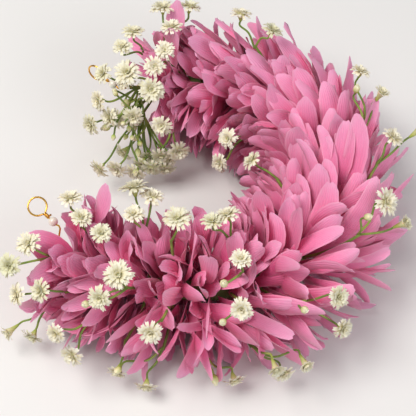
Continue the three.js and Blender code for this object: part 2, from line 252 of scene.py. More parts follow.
class Wiring:
    """Short calls for the nodes that these materials share."""

    def __init__(self, material, shader):
        self.tree = material.node_tree
        self.shader = shader

    def node(self, kind, inputs=None, **settings):
        node = self.tree.nodes.new("ShaderNode" + kind)
        for name, value in settings.items():
            setattr(node, name, value)
        for name, value in (inputs or {}).items():
            self.feed(node, name, value)
        return node

    def feed(self, node, name, value):
        if isinstance(value, bpy.types.NodeSocket):
            self.tree.links.new(value, node.inputs[name])
        else:
            node.inputs[name].default_value = value

    def ramp(self, factor, stops, smooth_steps=False):
        node = self.node("ValToRGB", {"Fac": factor})
        if smooth_steps:
            node.color_ramp.interpolation = "EASE"
        elements = node.color_ramp.elements
        while len(elements) < len(stops):
            elements.new(0.5)
        for element, (position, color) in zip(elements, stops):
            element.position = position
            element.color = (*color, 1)
        return node.outputs["Color"]

    def mix(self, factor, first, second, blend="MIX"):
        node = self.node("Mix", data_type="RGBA", blend_type=blend)
        self.feed(node, 0, factor)
        self.feed(node, 6, first if not isinstance(first, tuple) else (*first, 1))
        self.feed(node, 7, second if not isinstance(second, tuple) else (*second, 1))
        return node.outputs[2]

    def math(self, operation, first, second=0.0, clamped=False):
        node = self.node("Math", {0: first, 1: second}, operation=operation)
        node.use_clamp = clamped
        return node.outputs[0]

    def noise(self, vector, scale, detail=3.0, roughness=0.55):
        inputs = {"Vector": vector, "Scale": scale, "Detail": detail, "Roughness": roughness}
        return self.node("TexNoise", inputs).outputs["Fac"]

    def object_point(self):
        return self.node("TexCoord").outputs["Object"]

    def along_across(self):
        node = self.node("SeparateXYZ", {"Vector": self.node("UVMap").outputs["UV"]})
        return node.outputs["Y"], node.outputs["X"]

    def tone(self):
        color = self.node("VertexColor", layer_name="tone").outputs["Color"]
        node = self.node("SeparateColor", {"Color": color})
        return node.outputs["Red"], node.outputs["Green"], node.outputs["Blue"]

    def bump(self, height, strength, distance):
        node = self.node("Bump", {"Height": height, "Strength": strength, "Distance": distance})
        return node.outputs["Normal"]


def petal_material(colors):
    """Satin petals: deep pink at the base, paler to the tip, with fine lengthwise veins; the
    petals on the cord's lower side get painted shade, more lilac and darker.
    """
    material, shader = new_material("satin_petal")
    w = Wiring(material, shader)
    along, across = w.along_across()
    light, lilac, low_shade = w.tone()
    point = w.object_point()
    cloud = w.noise(point, 260.0, 3.0)
    shifted = w.math("ADD", along, w.math("MULTIPLY", w.math("SUBTRACT", cloud, 0.5), 0.22))
    body = w.ramp(shifted, [
        (0.0, colors.petal_base[:]),
        (0.38, colors.petal_lower[:]),
        (0.72, colors.petal_middle[:]),
        (1.0, colors.petal_tip[:]),
    ])
    # Lilac: partly random tone, partly painted shade that grows on the lower side of the cord.
    body = w.mix(w.math("MULTIPLY", lilac, 0.75), body, colors.petal_lilac_and_shade[:])
    body = w.mix(w.math("MULTIPLY", light, 0.2), body, (0.55, 0.22, 0.32), "SCREEN")
    # Painted shade: the petals on the lower side of the cord are darkened toward the base colour.
    body = w.mix(w.math("MULTIPLY", low_shade, 0.55), body, colors.petal_base[:], "MULTIPLY")
    vein_phase = w.math("MULTIPLY", across, 58.0)
    vein = w.math("SINE", w.math("ADD", vein_phase, w.math("MULTIPLY", cloud, 2.4)))
    vein_mask = w.math("MULTIPLY", w.math("ADD", vein, 1.0), 0.5)
    streak = w.math("MULTIPLY", w.math("POWER", vein_mask, 3.0), 0.16)
    body = w.mix(streak, body, (0.62, 0.12, 0.30))
    edge = w.math("ABSOLUTE", w.math("SUBTRACT", across, 0.5))
    rim = w.math("MULTIPLY", w.math("POWER", w.math("MULTIPLY", edge, 2.0), 6.0), 0.35)
    body = w.mix(rim, body, (1.0, 0.55, 0.70))
    w.feed(shader, "Base Color", body)
    w.feed(shader, "Roughness", w.math("ADD", w.math("MULTIPLY", cloud, 0.2), 0.42))
    fine = w.math("ADD", vein_mask, w.math("MULTIPLY", w.noise(point, 900.0, 2.0), 0.6))
    w.feed(shader, "Normal", w.bump(fine, 0.35, 0.00025))
    shader.inputs["Specular IOR Level"].default_value = 0.32
    shader.inputs["Subsurface Weight"].default_value = 0.22
    shader.inputs["Subsurface Radius"].default_value = (1.0, 0.45, 0.6)
    shader.inputs["Subsurface Scale"].default_value = 0.0016
    shader.inputs["Sheen Weight"].default_value = 0.12
    shader.inputs["Sheen Roughness"].default_value = 0.4
    return material


def floret_material(colors):
    """Cream gypsophila petals, greener where they join."""
    material, shader = new_material("gypsophila_petal")
    w = Wiring(material, shader)
    along, across = w.along_across()
    light, green, _ = w.tone()
    cloud = w.noise(w.object_point(), 420.0, 2.0)
    body = w.ramp(along, [
        (0.0, colors.floret_base[:]),
        (0.35, colors.floret_middle[:]),
        (1.0, colors.floret_tip[:]),
    ])
    body = w.mix(w.math("MULTIPLY", green, 0.6), body, colors.floret_base[:])
    body = w.mix(w.math("MULTIPLY", cloud, 0.22), body, (0.74, 0.66, 0.44))
    body = w.mix(w.math("MULTIPLY", light, 0.25), body, (1.0, 0.99, 0.93), "SCREEN")
    w.feed(shader, "Base Color", body)
    ridge = w.math("SINE", w.math("MULTIPLY", across, 19.0))
    w.feed(shader, "Normal", w.bump(ridge, 0.25, 0.0001))
    w.feed(shader, "Roughness", w.math("ADD", w.math("MULTIPLY", cloud, 0.2), 0.5))
    shader.inputs["Specular IOR Level"].default_value = 0.3
    shader.inputs["Subsurface Weight"].default_value = 0.15
    shader.inputs["Subsurface Radius"].default_value = (1.0, 0.95, 0.7)
    shader.inputs["Subsurface Scale"].default_value = 0.0008
    return material


def cup_material(colors):
    """Funnel cups and buds: fresh green at the stem, cream at the mouth."""
    material, shader = new_material("gypsophila_cup")
    w = Wiring(material, shader)
    along, across = w.along_across()
    cloud = w.noise(w.object_point(), 700.0, 3.0)
    shifted = w.math("ADD", along, w.math("MULTIPLY", w.math("SUBTRACT", cloud, 0.5), 0.3))
    body = w.ramp(shifted, [
        (0.0, colors.stem_green[:]),
        (0.30, colors.cup_green[:]),
        (0.70, colors.floret_middle[:]),
        (1.0, colors.floret_tip[:]),
    ])
    rib = w.math("SINE", w.math("MULTIPLY", across, 2 * math.pi * 5))
    rib_mask = w.math("MULTIPLY", w.math("ADD", rib, 1.0), 0.14)
    body = w.mix(rib_mask, body, colors.cup_green[:])
    w.feed(shader, "Base Color", body)
    w.feed(shader, "Roughness", w.math("ADD", w.math("MULTIPLY", cloud, 0.25), 0.4))
    w.feed(shader, "Normal", w.bump(w.math("ADD", rib, cloud), 0.35, 0.00015))
    shader.inputs["Subsurface Weight"].default_value = 0.12
    shader.inputs["Subsurface Scale"].default_value = 0.0008
    return material


def stem_material(colors):
    """Thin fresh stems, lighter in streaks and browner here and there."""
    material, shader = new_material("green_stem")
    w = Wiring(material, shader)
    point = w.object_point()
    patch = w.noise(point, 90.0, 3.0)
    fleck = w.noise(point, 1300.0, 2.0)
    body = w.ramp(patch, [
        (0.25, colors.stem_dark[:]),
        (0.5, colors.stem_green[:]),
        (0.75, colors.cup_green[:]),
    ])
    body = w.mix(w.math("MULTIPLY", fleck, 0.25), body, (0.30, 0.22, 0.08))
    w.feed(shader, "Base Color", body)
    w.feed(shader, "Roughness", w.math("ADD", w.math("MULTIPLY", fleck, 0.3), 0.35))
    w.feed(shader, "Normal", w.bump(fleck, 0.3, 0.0001))
    shader.inputs["Specular IOR Level"].default_value = 0.4
    return material


def tape_material(colors):
    """Floral tape wound over the cord, waxy and slightly crumpled."""
    material, shader = new_material("floral_tape")
    w = Wiring(material, shader)
    point = w.object_point()
    wrinkle = w.noise(point, 700.0, 4.0)
    patch = w.noise(point, 140.0, 2.0)
    body = w.ramp(patch, [(0.3, colors.stem_dark[:]), (0.7, colors.stem_green[:])])
    body = w.mix(w.math("MULTIPLY", wrinkle, 0.3), body, (0.26, 0.30, 0.14))
    w.feed(shader, "Base Color", body)
    w.feed(shader, "Roughness", w.math("ADD", w.math("MULTIPLY", wrinkle, 0.3), 0.5))
    w.feed(shader, "Normal", w.bump(wrinkle, 0.6, 0.0003))
    return material


def gold_material(colors):
    """Gold-coloured craft wire with fine drawing marks and duller rubbed places."""
    material, shader = new_material("drawn_gold")
    w = Wiring(material, shader)
    point = w.object_point()
    patch = w.noise(point, 320.0, 3.0)
    stretched = w.node("Mapping", {"Vector": point, "Scale": (1.0, 1.0, 7.0)})
    scratch = w.noise(stretched.outputs["Vector"], 1500.0, 2.0)
    body = w.ramp(patch, [
        (0.3, colors.gold_shade[:]),
        (0.62, colors.gold[:]),
    ])
    w.feed(shader, "Base Color", body)
    w.feed(shader, "Roughness", w.math("ADD", w.math("MULTIPLY", scratch, 0.22), 0.14))
    w.feed(shader, "Normal", w.bump(scratch, 0.12, 0.00006))
    shader.inputs["Metallic"].default_value = 1.0
    return material


def pearl_material(colors):
    """A nacre bead: cream with faint rose and green clouds under a clear coat."""
    material, shader = new_material("pearl_nacre")
    w = Wiring(material, shader)
    point = w.object_point()
    cloud = w.noise(point, 520.0, 3.0)
    body = w.ramp(cloud, [
        (0.3, (0.78, 0.66, 0.60)),
        (0.5, colors.pearl[:]),
        (0.7, (0.76, 0.80, 0.68)),
    ])
    w.feed(shader, "Base Color", body)
    w.feed(shader, "Roughness", w.math("ADD", w.math("MULTIPLY", cloud, 0.15), 0.16))
    w.feed(shader, "Normal", w.bump(w.noise(point, 1600.0, 2.0), 0.08, 0.00005))
    shader.inputs["Coat Weight"].default_value = 0.7
    shader.inputs["Coat Roughness"].default_value = 0.08
    shader.inputs["Sheen Weight"].default_value = 0.2
    return material


MATERIAL_MAKERS = {
    "satin_petal": petal_material,
    "gypsophila_petal": floret_material,
    "gypsophila_cup": cup_material,
    "green_stem": stem_material,
    "floral_tape": tape_material,
    "drawn_gold": gold_material,
    "pearl_nacre": pearl_material,
}


def material_named(name):
    found = bpy.data.materials.get(name)
    return found or MATERIAL_MAKERS[name](bpy.context.scene.garland_colors)


# ---- Mesh helpers ----
class PieceMesh:
    """A bmesh with the UV map and the tone attribute that the materials read."""

    def __init__(self):
        self.bm = bmesh.new()
        self.uv = self.bm.loops.layers.uv.new("UVMap")
        self.tone = self.bm.verts.layers.float_color.new("tone")

    def sheet(self, columns, rows):
        """A flat grid of faces: its vertices row by row, each row from one edge to the other."""
        made = bmesh.ops.create_grid(
            self.bm, x_segments=columns, y_segments=rows, size=0.5, calc_uvs=False,
        )["verts"]
        made.sort(key=lambda vert: (round(vert.co.y, 5), round(vert.co.x, 5)))
        across = columns + 1
        lines = [made[i * across:(i + 1) * across] for i in range(rows + 1)]
        faces = {face for vert in made for face in vert.link_faces}
        for face in faces:
            face.smooth = True
            for loop in face.loops:
                loop[self.uv].uv = (loop.vert.co.x + 0.5, loop.vert.co.y + 0.5)
        return lines, faces

    def thicken(self, faces, thickness):
        bmesh.ops.solidify(self.bm, geom=list(faces), thickness=thickness)

    def finish(self, name, materials, nodes):
        mesh = bpy.data.meshes.new(name)
        for face in self.bm.faces:
            face.smooth = True
        self.bm.normal_update()
        for edge in self.bm.edges:
            edge.smooth = edge.calc_face_angle(0) < SHARP_FOLD
        self.bm.to_mesh(mesh)
        self.bm.free()
        piece = bpy.data.objects.new(name, mesh)
        bpy.context.scene.collection.objects.link(piece)
        for material in materials:
            mesh.materials.append(material_named(material))
        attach(piece, "root")
        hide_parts(*nodes)
        return piece


def turn_onto(direction):
    return Vector((0, 0, 1)).rotation_difference(direction).to_matrix()


def add_turned(piece, profile, base, direction, segments, material, tone=(0, 0, 0)):
    """A closed turned shape: profile points are (radius, height) from pole to pole."""
    lines, faces = piece.sheet(segments, len(profile) - 1)
    turn = turn_onto(direction)
    for line, (radius, height) in zip(lines, profile):
        for i, vert in enumerate(line):
            angle = 2 * math.pi * i / segments
            local = Vector((radius * math.cos(angle), radius * math.sin(angle), height))
            vert.co = base + turn @ local
            vert[piece.tone] = (*tone, 1)
    for face in faces:
        face.material_index = material
    verts = [vert for line in lines for vert in line]
    bmesh.ops.remove_doubles(piece.bm, verts=verts, dist=1e-6)
    return [face for face in faces if face.is_valid]


def add_tube(piece, points, radii, sides, material, tone=(0, 0, 0)):
    """A round tube through the points with closed, slightly domed ends."""
    lines, faces = piece.sheet(sides, len(points) + 1)
    last = len(points) - 1
    headings = []
    for i in range(len(points)):
        ahead = points[min(i + 1, last)] - points[max(i - 1, 0)]
        headings.append(ahead.normalized())
    side = headings[0].orthogonal().normalized()
    rings = []
    for point, heading, radius in zip(points, headings, radii):
        side = (side - heading * side.dot(heading)).normalized()
        rings.append((point, side.copy(), heading.cross(side), radius))
    start = (points[0] - headings[0] * radii[0] * 0.4, rings[0][1], rings[0][2], 0)
    end = (points[-1] + headings[-1] * radii[-1] * 0.4, rings[-1][1], rings[-1][2], 0)
    for line, (point, first, second, radius) in zip(lines, [start, *rings, end]):
        for i, vert in enumerate(line):
            angle = 2 * math.pi * i / sides
            vert.co = point + first * radius * math.cos(angle) + second * radius * math.sin(angle)
            vert[piece.tone] = (*tone, 1)
    for face in faces:
        face.material_index = material
    verts = [vert for line in lines for vert in line]
    bmesh.ops.remove_doubles(piece.bm, verts=verts, dist=1e-6)


def curve_through(points, steps):
    """Points along a smooth curve through the given points."""
    padded = [points[0] * 2 - points[1], *points, points[-1] * 2 - points[-2]]
    result = []
    for i in range(1, len(padded) - 2):
        before, a, b, after = padded[i - 1:i + 3]
        for step in range(steps):
            t = step / steps
            result.append(0.5 * (
                2 * a
                + (b - before) * t
                + (2 * before - 5 * a + 4 * b - after) * t * t
                + (3 * a - before - 3 * b + after) * t ** 3
            ))
    result.append(points[-1].copy())
    return result


# ---- Petals ----
PETAL_COLUMNS = 4
PETAL_ROWS = 7
PETAL_THICKNESS = 0.00022


def petal_half_width(t):
    """The half width of a strap petal at a share of its length: narrow base, round tip."""
    widening = 0.34 + 0.66 * smooth(t, 0.0, 0.62)
    rounding = math.sqrt(max(0.0, 1 - max(0.0, (t - 0.62) / 0.42) ** 2.4))
    return widening * rounding


def add_petal(piece, petal):
    """One petal, laid along the garland's own coordinates."""
    lines, faces = piece.sheet(PETAL_COLUMNS, PETAL_ROWS)
    shares = [1 - (1 - i / PETAL_ROWS) ** 1.35 for i in range(PETAL_ROWS + 1)]

    def centre(t):
        reach = petal["start"] + (petal["tip"] - petal["start"]) * t
        swept = drift(reach) - drift(petal["start"])
        along = petal["distance"] + petal["lean"] * swept + petal["curl"] * t ** 3
        return along, reach + petal["flare"] * t ** 4, petal["angle"] + petal["sway"] * t * t

    centres = [over_table(place(*centre(t))) for t in shares]
    for i, (line, t) in enumerate(zip(lines, shares)):
        ahead = centres[min(i + 1, PETAL_ROWS)] - centres[max(i - 1, 0)]
        ahead.normalize()
        along, _, angle = centre(t)
        across = around(along, angle)
        across = (across - ahead * across.dot(ahead)).normalized()
        face_up = across.cross(ahead)
        roll = Quaternion(ahead, petal["roll"] * (0.3 + 0.7 * t))
        across.rotate(roll)
        face_up.rotate(roll)
        half = petal["width"] / 2 * petal_half_width(t)
        for j, vert in enumerate(line):
            u = 2 * j / PETAL_COLUMNS - 1
            back = petal["width"] * (0.22 * u * u * t ** 5)
            if j == PETAL_COLUMNS // 2 and i == PETAL_ROWS:
                back += petal["notch"]
            hollow = petal["cup"] * u * u * half * (0.4 + 0.6 * t)
            ripple = petal["ripple"] * math.sin(9 * t + petal["phase"]) * u * abs(u)
            point = centres[i] + across * half * u - ahead * back
            point += face_up * (hollow + ripple)
            vert.co = over_table(point, 0.0022)
            vert[piece.tone] = (*petal["tone"], 1)
    piece.thicken(faces, PETAL_THICKNESS)


def whorl_petals(number, settings, rng):
    """The petals of one whorl: rings that lie along the garland and rings that stand out."""
    distance = whorl_distance(number)
    lean = lean_at(distance)
    rim = rim_at(distance + lean * drift(END_RIM))
    facing = 1 if lean > 0 else -1
    parting = (1 - abs(lean)) ** 2
    end_share = 1 - smooth(distance, 0.004, 0.022)
    rings = settings.petal_rings + (1 if parting > 0.3 else 0)
    count = settings.petals_per_ring
    for ring in range(rings):
        lying = ring % 2 == 0
        filler = ring == settings.petal_rings
        offset = WHORL_SPACING * ((ring + 0.5) / rings - 0.5)
        for i in range(count):
            angle = 2 * math.pi * (i + 0.5 * (ring % 2) + 0.25 * (number % 2)) / count
            angle += rng.uniform(-0.25, 0.25)
            low = smooth(-math.sin(angle), 0.1, 0.9)
            upper = smooth(math.sin(angle), 0.1, 0.95)
            if lying:
                slant = 0.6 + 0.85 * upper + rng.uniform(-0.35, 0.3)
            else:
                slant = 0.3 + 0.6 * upper + rng.uniform(-0.3, 0.3)
            spread = lean * slant + rng.uniform(-0.15, 0.15)
            reach = 1.15 - 0.15 * slant + rng.uniform(-0.13, 0.02) + 0.07 * low
            if not lying:
                reach += 0.16 * smooth(math.cos(angle), 0.2, 0.9) * rng.uniform(0, 1)
            if filler:
                spread = rng.uniform(-1.7, 1.7)
                reach = rng.uniform(0.45, 0.85)
            yield {
                "distance": distance + offset + rng.uniform(-0.0015, 0.0015),
                "lean": spread + rng.uniform(-0.9, 0.9) * parting,
                "angle": angle,
                "start": rng.uniform(0.004, 0.009),
                "tip": rim * reach,
                "width": settings.petal_width * rng.uniform(0.7, 1.15) * (1 + 0.2 * end_share),
                "sway": rng.uniform(-0.32, 0.32),
                "roll": rng.uniform(-0.75, 0.75) + rng.uniform(-1.0, 1.0) * parting,
                "cup": rng.choice([0.6, 0.45, 0.25, -0.3]) * rng.uniform(0.5, 1.3),
                "curl": rng.uniform(-0.004, 0.004) * facing,
                "flare": rng.uniform(-0.0035, 0.002),
                "ripple": rng.uniform(0.0, 0.0012),
                "phase": rng.uniform(0, 6.28),
                "notch": rng.choice([0.0, 0.0, 0.0006, 0.001]),
                # Tone: random lightness; lilac, partly random and partly painted shade on the
                # lower petals; painted shade that darkens the lower petals.
                "tone": (
                    rng.uniform(0, 1),
                    clamp(0.8 * low * rng.uniform(0.3, 1.2) + rng.uniform(-0.4, 0.35), 0, 1),
                    0.25 * low,
                ),
            }


# A fan of big loose petals at each end, spread evenly from low petals that point past the
# cord's end to high ones that stand up. Each pair is (low petal, high petal), in mm or degrees.
FAN_PETALS = 7
FAN_WIDTH = 9
FAN_ROOT = (9, 12)
FAN_TIP = (15, 40)
FAN_PAST = (16, -2)
FAN_ROLL = (0, 75)
END_FANS = {
    1: {"way": -1, "angles": (10, 125)},
    WHORL_COUNT: {"way": 1, "angles": (200, 60)},
}
EYE_CLEARANCE = 0.008  # petals keep this far from the line that runs up and forward from an eye
EYE_LINE = Vector((0, -0.5, 0.866))


def loose_petal(start, tip, width, roll, rng):
    (from_distance, from_reach, from_angle), (to_distance, to_reach, to_angle) = start, tip
    run = drift(to_reach * MM) - drift(from_reach * MM)
    return {
        "distance": from_distance * MM,
        "lean": (to_distance - from_distance) * MM / run,
        "angle": math.radians(from_angle),
        "start": from_reach * MM,
        "tip": to_reach * MM,
        "width": width * MM,
        "sway": math.radians(to_angle - from_angle),
        "roll": math.radians(roll) + rng.uniform(-0.1, 0.1),
        "cup": 0.3,
        "curl": 0,
        "flare": 0,
        "ripple": 0.0006,
        "phase": rng.uniform(0, 6.28),
        "notch": 0.0004,
        "tone": (rng.uniform(0.3, 1), rng.uniform(0.1, 0.6), 0),
    }


def end_fan(number, rng):
    """The big loose petals of the first or the last whorl."""
    fan = END_FANS[number]
    root = whorl_distance(number) / MM
    for i in range(FAN_PETALS):
        share = i / (FAN_PETALS - 1)
        angle = between(fan["angles"], share)
        start = (root, between(FAN_ROOT, share), angle)
        tip = (root + fan["way"] * between(FAN_PAST, share), between(FAN_TIP, share), angle)
        yield loose_petal(start, tip, FAN_WIDTH, between(FAN_ROLL, share), rng)


def near_eye(petal, eyes):
    """Whether a petal's outer half would cover one of the wire eyes."""
    for share in (0.6, 0.8, 1.0):
        reach = petal["start"] + (petal["tip"] - petal["start"]) * share
        along = petal["distance"] + petal["lean"] * (drift(reach) - drift(petal["start"]))
        point = place(along, reach, petal["angle"] + petal["sway"] * share * share)
        for eye in eyes:
            off = point - eye
            beside = (off - EYE_LINE * off.dot(EYE_LINE)).length
            if beside < EYE_CLEARANCE and off.dot(EYE_LINE) > -EYE_CLEARANCE:
                return True
    return False


# ---- Gypsophila ----
CUP_PROFILES = {
    "open": [(0, 0), (0.55, 0), (0.9, 1.0), (1.5, 2.2), (1.9, 2.9), (1.3, 3.1), (0, 2.6)],
    "large": [(0, 0), (0.6, 0), (1.0, 1.2), (1.8, 2.5), (2.3, 3.3), (1.6, 3.5), (0, 3.0)],
    "trumpet": [(0, 0), (0.55, 0), (0.8, 1.6), (1.2, 3.6), (1.9, 5.2), (1.3, 5.4), (0, 4.8)],
    "bud": [(0, 0), (0.7, 0.1), (1.4, 1.1), (1.6, 2.2), (1.3, 3.4), (0.6, 4.3), (0, 4.6)],
}
# Rings of petals from the outside in: (petals, tilt from the head's axis, length, start radius).
PETAL_RINGS = {
    "open": [(13, 88, 3.9, 1.5), (11, 66, 3.7, 1.2), (9, 42, 3.2, 0.8), (6, 18, 2.6, 0.4)],
    "large": [(15, 90, 4.8, 1.9), (13, 70, 4.6, 1.5), (11, 48, 4.0, 1.1), (8, 22, 3.2, 0.6)],
    "trumpet": [(10, 58, 2.8, 1.5), (8, 36, 2.8, 1.0), (6, 14, 2.4, 0.5)],
    "bud": [(5, 8, 1.1, 0.35)],
}
CUP_MOUTH = {"open": 2.9, "large": 3.3, "trumpet": 5.2, "bud": 4.1}
FLORET_THICKNESS = 0.00016
STEM_SLOT, CUP_SLOT, FLORET_SLOT = range(3)


def add_floret_petal(piece, start, outward, rise, length, width, tone):
    """A narrow petal with a notched tip, curving from its rise to its outward direction."""
    lines, faces = piece.sheet(2, 3)
    side = rise.cross(outward).normalized()
    curve = [0.0, 0.4, 0.78, 1.0]
    spread = [0.45, 0.8, 1.0, 0.8]
    for line, t, wide in zip(lines, curve, spread):
        bend = rise.lerp(outward, t).normalized()
        centre = start + bend * length * t
        for j, vert in enumerate(line):
            u = j - 1
            notch = length * 0.14 if (t == 1.0 and j == 1) else 0
            vert.co = centre + side * (u * wide * width / 2) - bend * notch
            vert.co = over_table(vert.co, 0.001)
            vert[piece.tone] = (*tone, 1)
    for face in faces:
        face.material_index = FLORET_SLOT
    piece.thicken(faces, FLORET_THICKNESS)


def add_head(piece, kind, base, direction, rng):
    """A flower head or bud on its stem: a ribbed cup and rings of petals."""
    profile = [(radius * MM, height * MM) for radius, height in CUP_PROFILES[kind]]
    size = rng.uniform(0.92, 1.08)
    profile = [(radius * size, height * size) for radius, height in profile]
    add_turned(piece, profile, base, direction, 8, CUP_SLOT)
    turn = turn_onto(direction)
    mouth = base + direction * CUP_MOUTH[kind] * MM * size
    green = clamp(rng.gauss(0.15, 0.2), 0, 0.8)
    for count, tilt, length, start in PETAL_RINGS[kind]:
        phase = rng.uniform(0, 6.28)
        for i in range(count):
            angle = phase + 2 * math.pi * i / count + rng.uniform(-0.12, 0.12)
            sideways = turn @ Vector((math.cos(angle), math.sin(angle), 0))
            lean = math.radians(tilt + rng.uniform(-13, 13))
            outward = sideways * math.sin(lean) + direction * math.cos(lean)
            rise = sideways * math.sin(lean * 0.45) + direction * math.cos(lean * 0.45)
            add_floret_petal(
                piece,
                mouth + sideways * start * MM * size * 0.7 - direction * 0.0004,
                outward,
                rise,
                length * MM * size * rng.uniform(0.82, 1.1),
                0.00145 * rng.uniform(0.8, 1.15),
                (rng.uniform(0, 1), green, 0),
            )


def add_branch(piece, fork, outward, base, kind, rng, tangle=0.001):
    """A curved branch from the fork to a head that faces outward."""
    toward = (base - fork).normalized()
    direction = (toward * 0.5 + outward + UPWARD * 0.5).normalized()
    direction = (direction + random_vector(rng) * 0.22).normalized()
    span = (base - fork).length
    bow = random_vector(rng) * tangle
    points = [
        fork - outward * 1.2 * MM,
        fork.lerp(base, 0.4) + outward * 0.08 * span + bow,
        base - direction * 0.18 * span + bow * 0.4,
        base + direction * 0.3 * MM,
    ]
    path = curve_through([over_table(point, 0.0012) for point in points], 4)
    thick = STEM_RADIUS * 0.85
    radii = [thick * (1 - 0.2 * i / len(path)) for i in range(len(path))]
    add_tube(piece, path, radii, 6, STEM_SLOT, (rng.uniform(0, 1), 0, 0))
    add_head(piece, kind, base, direction, rng)


UPWARD = Vector((0, 0, 1))  # heads turn up toward the light


def random_vector(rng):
    return Vector((rng.uniform(-1, 1), rng.uniform(-1, 1), rng.uniform(-1, 1)))


SPRIG_MATERIALS = ["green_stem", "gypsophila_cup", "gypsophila_petal"]


def build_gap_sprig(number, rng):
    after, angle, heads = SPRIGS[number - 1]
    low = whorl_distance(after)
    high = whorl_distance(after + 1) if after < WHORL_COUNT else low + WHORL_SPACING
    middle = (low + high) / 2
    lean = (lean_at(low) + lean_at(high)) / 2
    rim = rim_at(middle + lean * drift(END_RIM))
    turn = math.radians(angle)
    fork_reach = rim * FORK_SHARE
    root_reach = CORE_RADIUS + STEM_RADIUS
    stem = []
    for i in range(5):
        reach = root_reach + (fork_reach - root_reach) * i / 4
        stem.append(place(middle + lean * drift(reach), reach, turn))
    fork = stem[-1]
    outward = (fork - place(middle + lean * drift(fork_reach), 0, 0)).normalized()
    piece = PieceMesh()
    path = curve_through(stem, 3)
    add_tube(piece, path, [STEM_RADIUS] * len(path), 6, STEM_SLOT)
    for ahead, aside, height, kind in heads:
        reach = rim + RIM_CLEARANCE + height * MM
        along = middle + lean * drift(rim) + ahead * MM
        base = place(along, reach, turn + math.radians(aside))
        base.z = max(base.z, LOWEST_HEAD)
        add_branch(piece, fork, outward, base, kind, rng)
    name = f"gypsophila_sprig_{number:02d}"
    piece.finish(name + "_flowers", SPRIG_MATERIALS, [name])


def add_bare_stem(piece, fork, rng):
    """A thin stem that winds through the bunch and ends in a small closed bud."""
    past = rng.uniform(6, 24) * MM
    target = place(CORE_END + past, rng.uniform(12, 27) * MM, math.radians(rng.uniform(120, 215)))
    target.z = max(target.z, LOWEST_HEAD)
    bow = random_vector(rng) * 0.005
    path = curve_through([fork, fork.lerp(target, 0.5) + bow, target], 6)
    path = [over_table(point, 0.0012) for point in path]
    thick = STEM_RADIUS * 0.7
    add_tube(piece, path, [thick] * len(path), 6, STEM_SLOT)
    bud = [(0, 0), (0.6, 0.1), (1.1, 0.9), (1.0, 1.8), (0.4, 2.6), (0, 2.8)]
    bud = [(radius * MM, height * MM) for radius, height in bud]
    tip = (path[-1] - path[-2]).normalized()
    add_turned(piece, bud, path[-1] - tip * 0.2 * MM, tip, 8, CUP_SLOT)


def end_sprig_heads(number):
    """A sprig's own heads, a row behind them, and on the last sprig those that hang."""
    heads = list(END_BUNCH[number - 1][1])
    for i, (past, reach, aside, _) in enumerate(END_BUNCH[number - 1][1]):
        kind = "open" if i % 2 == 0 else "bud"
        heads.append((past * BEHIND_PAST, reach * BEHIND_REACH, aside + BEHIND_TURN, kind))
    if number == len(END_BUNCH):
        for i in range(HANGING_HEADS):
            reach = HANGING_REACH + HANGING_STEP * (i % 2)
            aside = HANGING_ANGLE + i % 3 * HANGING_SPREAD
            heads.append((i * HANGING_STEP, reach, aside, "open"))
    return heads


def build_end_sprig(number, rng):
    angle, heads = END_BUNCH[number - 1][0], end_sprig_heads(number)
    turn = math.radians(angle)
    start = place(CORE_END + STEM_RADIUS, BUNCH_ROOT_REACH * MM, turn)
    fork = place(CORE_END + BUNCH_FORK_PAST * MM, BUNCH_FORK_REACH * MM, turn)
    outward = (fork - start).normalized()
    piece = PieceMesh()
    path = curve_through([start, start.lerp(fork, 0.5), fork], 3)
    add_tube(piece, path, [STEM_RADIUS] * len(path), 6, STEM_SLOT)
    for past, reach, aside, kind in heads:
        base = place(CORE_END + past * MM, reach * MM, math.radians(aside))
        base.z = max(base.z, LOWEST_HEAD)
        way = (base - fork).normalized() * 0.6 + outward * 0.4
        add_branch(piece, fork, way.normalized(), base, kind, rng, 0.0035)
    for _ in range(BARE_STEMS):
        add_bare_stem(piece, fork, rng)
    name = f"end_sprig_{number:02d}"
    piece.finish(name + "_flowers", SPRIG_MATERIALS, [name])


# ---- Wire loops and beads ----
FIRST_LOOP = {
    "bead": FIRST_BEAD,
    "neck": Vector((-0.72, 0.62, 0.3)),
    "across": Vector((0.66, 0.7, 0.26)),
    "shank": [(-CORE_OVERHANG + 0.011, 0, 0), (-CORE_OVERHANG + 0.004, 0, 0),
              (-CORE_OVERHANG - 0.001, 0, 0), (-CORE_OVERHANG - 0.008, 0.0025, 170)],
}
LAST_LOOP = {
    "bead": LAST_BEAD,
    "neck": Vector((-0.8, 0.5, 0.2)),
    "across": Vector((0.27, 0.03, 0.96)),
    "shank": [(CORE_END - 0.011, 0, 0), (CORE_END - 0.004, 0, 0),
              (CORE_END + 0.001, 0, 0), (CORE_END + 0.007, 0.002, 60)],
}


def loop_axes(plan):
    forward = plan["neck"].normalized()
    across = plan["across"]
    across = (across - forward * across.dot(forward)).normalized()
    return plan["bead"] + ORIGIN_SHIFT, forward, across, forward.cross(across)


def eye_middle(plan):
    bead, forward, _, _ = loop_axes(plan)
    return bead + forward * (BEAD_RADIUS + 0.001 + NECK_LENGTH + LOOP_RADIUS)


